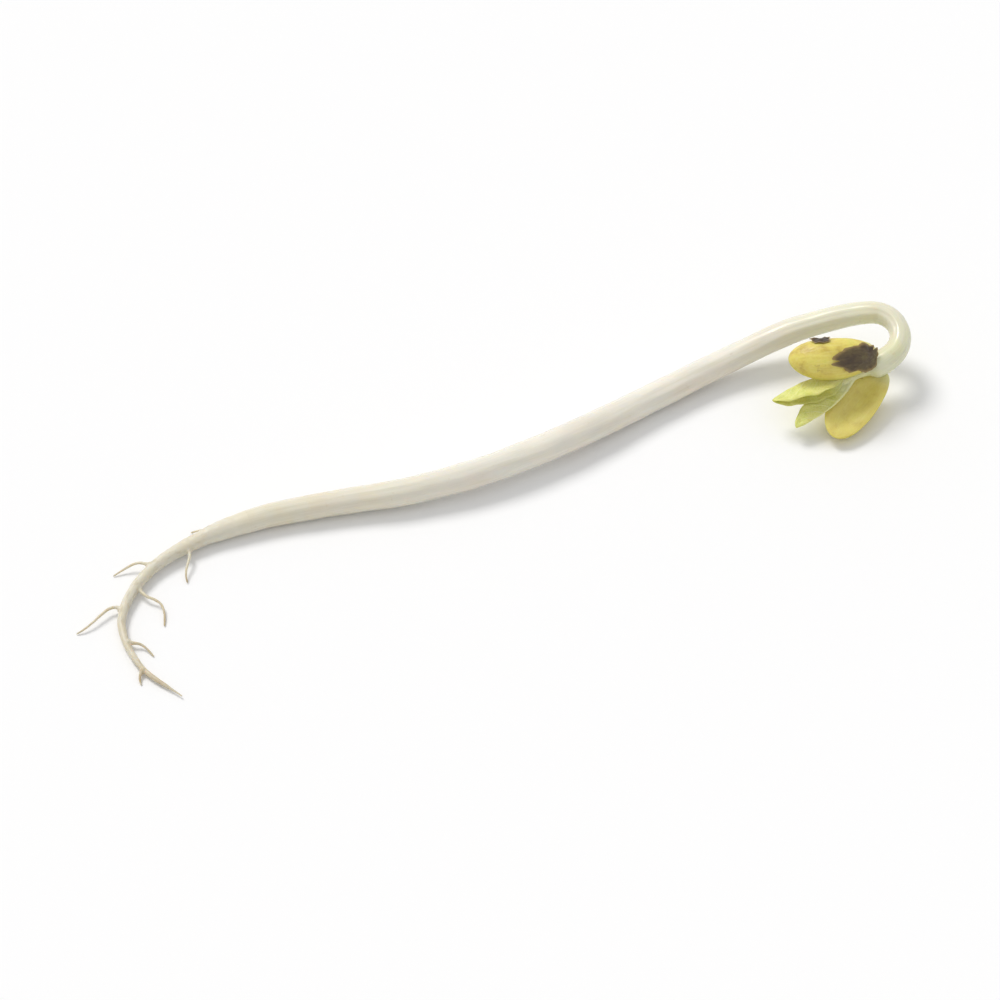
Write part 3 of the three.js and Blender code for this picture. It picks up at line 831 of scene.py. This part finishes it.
for tilt, length in ((0.25, 0.95), (-0.3, 0.8)):
    bud = smooth_route([
        HEAD @ Vector((SHOOT_LENGTH * 0.82, 0, SHOOT_RISE)),
        HEAD @ Vector((SHOOT_LENGTH * 0.82 + length * 0.5, tilt * 0.5, SHOOT_RISE + 0.05)),
        HEAD @ Vector((SHOOT_LENGTH * 0.82 + length, tilt * 0.6, SHOOT_RISE + 0.12)),
    ], BUD_STEP)
    bud_radii = []
    for i in range(len(bud)):
        t = i / (len(bud) - 1)
        bud_radii.append(BUD_TIP_RADIUS + BUD_SWELLING * math.sin(math.pi * (0.45 + 0.55 * t)))
    draw_rod(shoot_mesh, frames_along(bud), bud_radii, BUD_SIDES)
shoot_mesh = blended(shoot_mesh, SHOOT_SKIN_GRAIN)

shoot_finish, tree, shader, object_place = new_finish("sprout_shoot")
common = add_tissue(tree, object_place)
fibres = add_noise(tree, object_place, (2200, 2200, 2200), detail=3)
colour = add_ramp(tree, fibres, [
    [0.3, (0.68, 0.68, 0.34)],
    [0.5, (0.77, 0.77, 0.44)],
    [0.7, (0.80, 0.79, 0.53)],
])
colour = add_mix(tree, add_range(tree, common["Clouds"], 0, 1, 0, 0.4), colour, (0.68, 0.71, 0.30))
tree.links.new(colour, shader.inputs["Base Color"])
tree.links.new(add_range(tree, fibres, 0.3, 0.7, 0.32, 0.5), shader.inputs["Roughness"])
add_bump(tree, shader, common["Cells"], 0.02)
wet_tissue(shader, 0.2, 0.2, 0.45)
finish_piece(shoot_mesh, "shoot_and_bud", shoot_finish, "epicotyl")


# ---------------------------------------------------------------- first leaves
# The first two leaves, thin and tender, still folded along their ribs as they lay in the bean and
# tucked one over the other. They are pale lime, with paler veins and slightly crinkled margins.
LEAF_LENGTH = 6.8
LEAF_WIDTH = 4.8
LEAF_BOW = 0.5
LEAF_FOLD = 0.22
FOLD_SOFTNESS = 0.12
LEAF_THICKNESS = 0.15
RIB_THICKNESS = 0.13
RIB_WIDTH = 0.05
SIDE_VEINS = 7
SIDE_VEIN_WIDTH = 0.009
VEIN_DEPTH = 0.05
WAVE_HEIGHT = 0.11
QUILT_HEIGHT = 0.09
RIGHT_LEAF_SIZE = 0.92
LEFT_LEAF_WAVES = 0.7
RIGHT_LEAF_WAVES = 2.9


def vein_height(along, across, seed):
    """1 on a vein, 0 between veins. The side veins leave the rib in turn to either side, run forward and
    arch along the margin."""
    rib = math.exp(-((across / RIB_WIDTH) ** 2))
    reach = abs(across)
    turn_about = 0.45 if across < 0 else 0
    wander = 0.35 * noise.noise(Vector((along * 4, across * 1.5, seed)))
    phase = (along - 0.36 * reach**1.4) * SIDE_VEINS + turn_about + wander
    nearest = abs(phase - round(phase)) / SIDE_VEINS
    side = math.exp(-((nearest / SIDE_VEIN_WIDTH) ** 2)) * (1 - ease(0.5, 0.95, reach))
    side *= ease(0.04, 0.2, along)
    return max(rib * (1 - 0.6 * along), 0.6 * side)


def draw_leaf(place, size, seed):
    """A folded blade, drawn as a ball pressed flat: its equator is the margin, and its two caps are the
    blade's two faces. The layer 'blade' keeps how far along and across a point lies, and its vein."""
    mesh = bmesh.new()
    blade = mesh.verts.layers.float_vector.new("blade")
    bmesh.ops.create_uvsphere(mesh, u_segments=210, v_segments=132, radius=1)
    rise = math.cos(LEAF_FOLD)
    lean = math.sin(LEAF_FOLD)
    for vert in mesh.verts:
        x, y, face = vert.co
        along = (x + 1) / 2
        taper = math.sqrt(max(1 - x * x, 1e-6))
        across = y / taper
        vein = vein_height(along, across, seed)
        vert[blade] = (along, across, vein)
        spread = LEAF_WIDTH / 2 * (1 - 0.28 * x) * (1 + 0.02 * math.sin(along * 31 + seed))
        from_rib = math.hypot(y, FOLD_SOFTNESS)
        point = Vector((along * LEAF_LENGTH, y * spread * lean, (from_rib - FOLD_SOFTNESS) * spread * rise))
        skin = Vector((0, -rise * y / from_rib, lean + 0.02)).normalized()
        waves = math.sin(along * 19 + seed + 1.3 * math.copysign(1, across)) * abs(across) ** 3
        quilt = noise.noise(Vector((along * 5, across * 2.4, seed)))
        relief = (WAVE_HEIGHT * waves + QUILT_HEIGHT * quilt - VEIN_DEPTH * vein) * min(1, taper * 1.5)
        stout_rib = RIB_THICKNESS * math.exp(-((across / 0.11) ** 2)) * (1 - along) ** 2
        thickness = math.copysign(min(1, 3 * abs(face)), face) * (LEAF_THICKNESS / 2 + stout_rib)
        point += skin * (relief + thickness)
        point.z -= LEAF_BOW * math.sin(math.pi * along)
        vert.co = place @ (point * size)
    return mesh


leaf_finish, tree, shader, object_place = new_finish("sprout_leaf_blade")
blade = add_node(tree, "Attribute", attribute_name="blade").outputs["Vector"]
split = add_node(tree, "SeparateXYZ")
tree.links.new(blade, split.inputs["Vector"])
common = add_tissue(tree, object_place)
crinkle = add_noise(tree, object_place, (1900, 1900, 1900), detail=4, roughness=0.6)
colour = add_ramp(tree, crinkle, [
    [0.3, (0.56, 0.60, 0.11)],
    [0.5, (0.70, 0.71, 0.18)],
    [0.7, (0.78, 0.77, 0.26)],
])
colour = add_mix(tree, add_range(tree, common["Clouds"], 0, 1, 0, 0.45), colour, (0.74, 0.66, 0.22))
colour = add_mix(tree, add_range(tree, split.outputs["X"], 0.3, 0.0, 0, 0.9), colour, (0.78, 0.78, 0.46))
colour = add_mix(tree, add_range(tree, split.outputs["Z"], 0.1, 0.8, 0, 0.7), colour, (0.82, 0.82, 0.48))
net_place = add_node(tree, "Mapping")
net_place.inputs["Scale"].default_value = (27, 9, 1)
tree.links.new(blade, net_place.inputs["Vector"])
net = add_node(tree, "TexVoronoi", feature="DISTANCE_TO_EDGE", voronoi_dimensions="2D")
net.inputs["Scale"].default_value = 1
tree.links.new(net_place.outputs["Vector"], net.inputs["Vector"])
threads = add_range(tree, net.outputs["Distance"], 0.0, 0.2, 1, 0)
colour = add_mix(tree, add_range(tree, threads, 0, 1, 0, 0.28), colour, (0.82, 0.82, 0.45))
margin = add_node(tree, "Math", operation="ABSOLUTE")
tree.links.new(split.outputs["Y"], margin.inputs[0])
colour = add_mix(tree, add_range(tree, margin.outputs[0], 0.8, 1.0, 0, 0.5), colour, (0.46, 0.46, 0.10))
tree.links.new(colour, shader.inputs["Base Color"])
tree.links.new(add_range(tree, crinkle, 0.3, 0.7, 0.38, 0.56), shader.inputs["Roughness"])
add_bump(tree, shader, common["Cells"], 0.015)
wet_tissue(shader, 0.3, 0.4, 0.4)
left_leaf = draw_leaf(LEFT_LEAF, 1, LEFT_LEAF_WAVES)
finish_piece(left_leaf, "first_leaf_left", leaf_finish, "primary_leaf_left")
right_leaf = draw_leaf(RIGHT_LEAF, RIGHT_LEAF_SIZE, RIGHT_LEAF_WAVES)
finish_piece(right_leaf, "first_leaf_right", leaf_finish, "primary_leaf_right")


# ---------------------------------------------------------------- seed coat
# What is left of the bean's dark skin: a torn cap over the base of the upper half and a scrap near its
# tip. It is as thin as paper, finely creased as it dries, and its ragged rims curl off the flesh.
COAT_THICKNESS = 0.05
COAT_CLEARANCE = 0.03
COAT_GRID = 120
COAT_CREASE_DEPTH = 0.07
COAT_CRUMPLE_DEPTH = 0.1
SLIT_WIDTH = 0.08
CAP_SLITS = ((0.4, 0.3), (2.9, 0.4))
SCRAP_SLITS = ((1.2, 0.35),)


def draw_coat(pole, reach, curl, slits, seed):
    """A torn patch of skin laid over the upper half around a pole, out to an angle of reach. A flat sheet
    gets its wall first and is then laid on. Slits are (angle round the pole, depth) of narrow tears. The
    layer 'patch' keeps a point's direction from the middle of the half, and how far out it lies."""
    mesh = bmesh.new()
    patch = mesh.verts.layers.float_vector.new("patch")
    bmesh.ops.create_grid(mesh, x_segments=COAT_GRID, y_segments=COAT_GRID, size=1)
    bmesh.ops.solidify(mesh, geom=mesh.faces, thickness=COAT_THICKNESS)
    top = max(vert.co.z for vert in mesh.verts)
    to_pole = Vector((0, 1, 0)).rotation_difference(Vector(pole).normalized())
    for vert in mesh.verts:
        out = min(max(abs(vert.co.x), abs(vert.co.y)), 1)
        around = math.atan2(vert.co.y, vert.co.x)
        ring = Vector((math.cos(around), math.sin(around), 0))
        frayed = 0.9 * noise.noise(ring * 1.7 + Vector((0, 0, seed)))
        frayed += 0.35 * noise.noise(ring * 4.5 + Vector((0, 0, seed)))
        frayed += 0.1 * noise.noise(ring * 11 + Vector((0, 0, seed))) + 0.04 * noise.noise(ring * 28)
        tear = 1 + 0.14 * math.sin(2 * around + 0.6)
        for slit, slit_depth in slits:
            off = math.remainder(around - slit, math.tau)
            tear -= slit_depth * math.exp(-((off / SLIT_WIDTH) ** 2)) * out**4
        polar = out * reach * (tear + 0.26 * frayed * out**3)
        across = math.sin(polar)
        from_top = Vector((across * math.cos(around), math.cos(polar), across * math.sin(around)))
        direction = to_pole @ from_top
        flesh = max(seed_half_relief(direction, UPPER_HALF_WRINKLES), -0.02)
        creases = abs(noise.noise(Vector((direction.x * 3, direction.y * 8, direction.z * 8 + seed))))
        crumples = abs(noise.noise(direction * 5 + Vector((seed, 0, 0))))
        lifted = max(0, 0.35 + 1.5 * noise.noise(ring * 1.6 + Vector((0, 0, seed + 4))))
        rise = COAT_CLEARANCE + COAT_THICKNESS + flesh
        rise += COAT_CREASE_DEPTH * (0.5 - creases) + COAT_CRUMPLE_DEPTH * (0.5 - crumples)
        rise += curl * lifted * ease(0.45, 1.1, out)
        wall = (top - vert.co.z) * (1 - 0.6 * ease(0.7, 1, out))
        vert[patch] = (direction.x, direction.y, out)
        vert.co = UPPER_HALF @ seed_half_point(direction, rise - wall)
    return mesh


coat_finish, tree, shader, object_place = new_finish("sprout_seed_coat")
patch = add_node(tree, "Attribute", attribute_name="patch").outputs["Vector"]
split = add_node(tree, "SeparateXYZ")
tree.links.new(patch, split.inputs["Vector"])
common = add_tissue(tree, object_place)
blotches = add_noise(tree, object_place, (700, 700, 700), detail=5, roughness=0.6)
colour = add_ramp(tree, blotches, [
    [0.3, (0.036, 0.020, 0.010)],
    [0.46, (0.072, 0.045, 0.020)],
    [0.58, (0.115, 0.082, 0.032)],
    [0.75, (0.165, 0.140, 0.052)],
])
lines = add_noise(tree, patch, (3, 18, 3), detail=4)
colour = add_mix(tree, add_range(tree, lines, 0.48, 0.72, 0, 0.35), colour, (0.036, 0.021, 0.012))
colour = add_mix(tree, add_range(tree, common["Scuffs"], 0, 1, 0, 0.4), colour, (0.26, 0.19, 0.08))
colour = add_mix(tree, add_range(tree, split.outputs["Z"], 0.8, 1.0, 0, 0.7), colour, (0.36, 0.25, 0.09))
tree.links.new(colour, shader.inputs["Base Color"])
tree.links.new(add_range(tree, blotches, 0.3, 0.7, 0.32, 0.5), shader.inputs["Roughness"])
add_bump(tree, shader, lines, 0.02)
wet_tissue(shader, 0.2, 0.2, 0.45)
coat_cap = draw_coat(pole=(-0.56, 0.44, 0.7), reach=0.64, curl=0.34, slits=CAP_SLITS, seed=1.7)
finish_piece(coat_cap, "seed_coat_cap", coat_finish, "seed_coat")
coat_scrap = draw_coat(pole=(0.3, -0.62, 0.72), reach=0.24, curl=0.16, slits=SCRAP_SLITS, seed=5.2)
finish_piece(coat_scrap, "seed_coat_bit", coat_finish, "seed_coat_scrap")
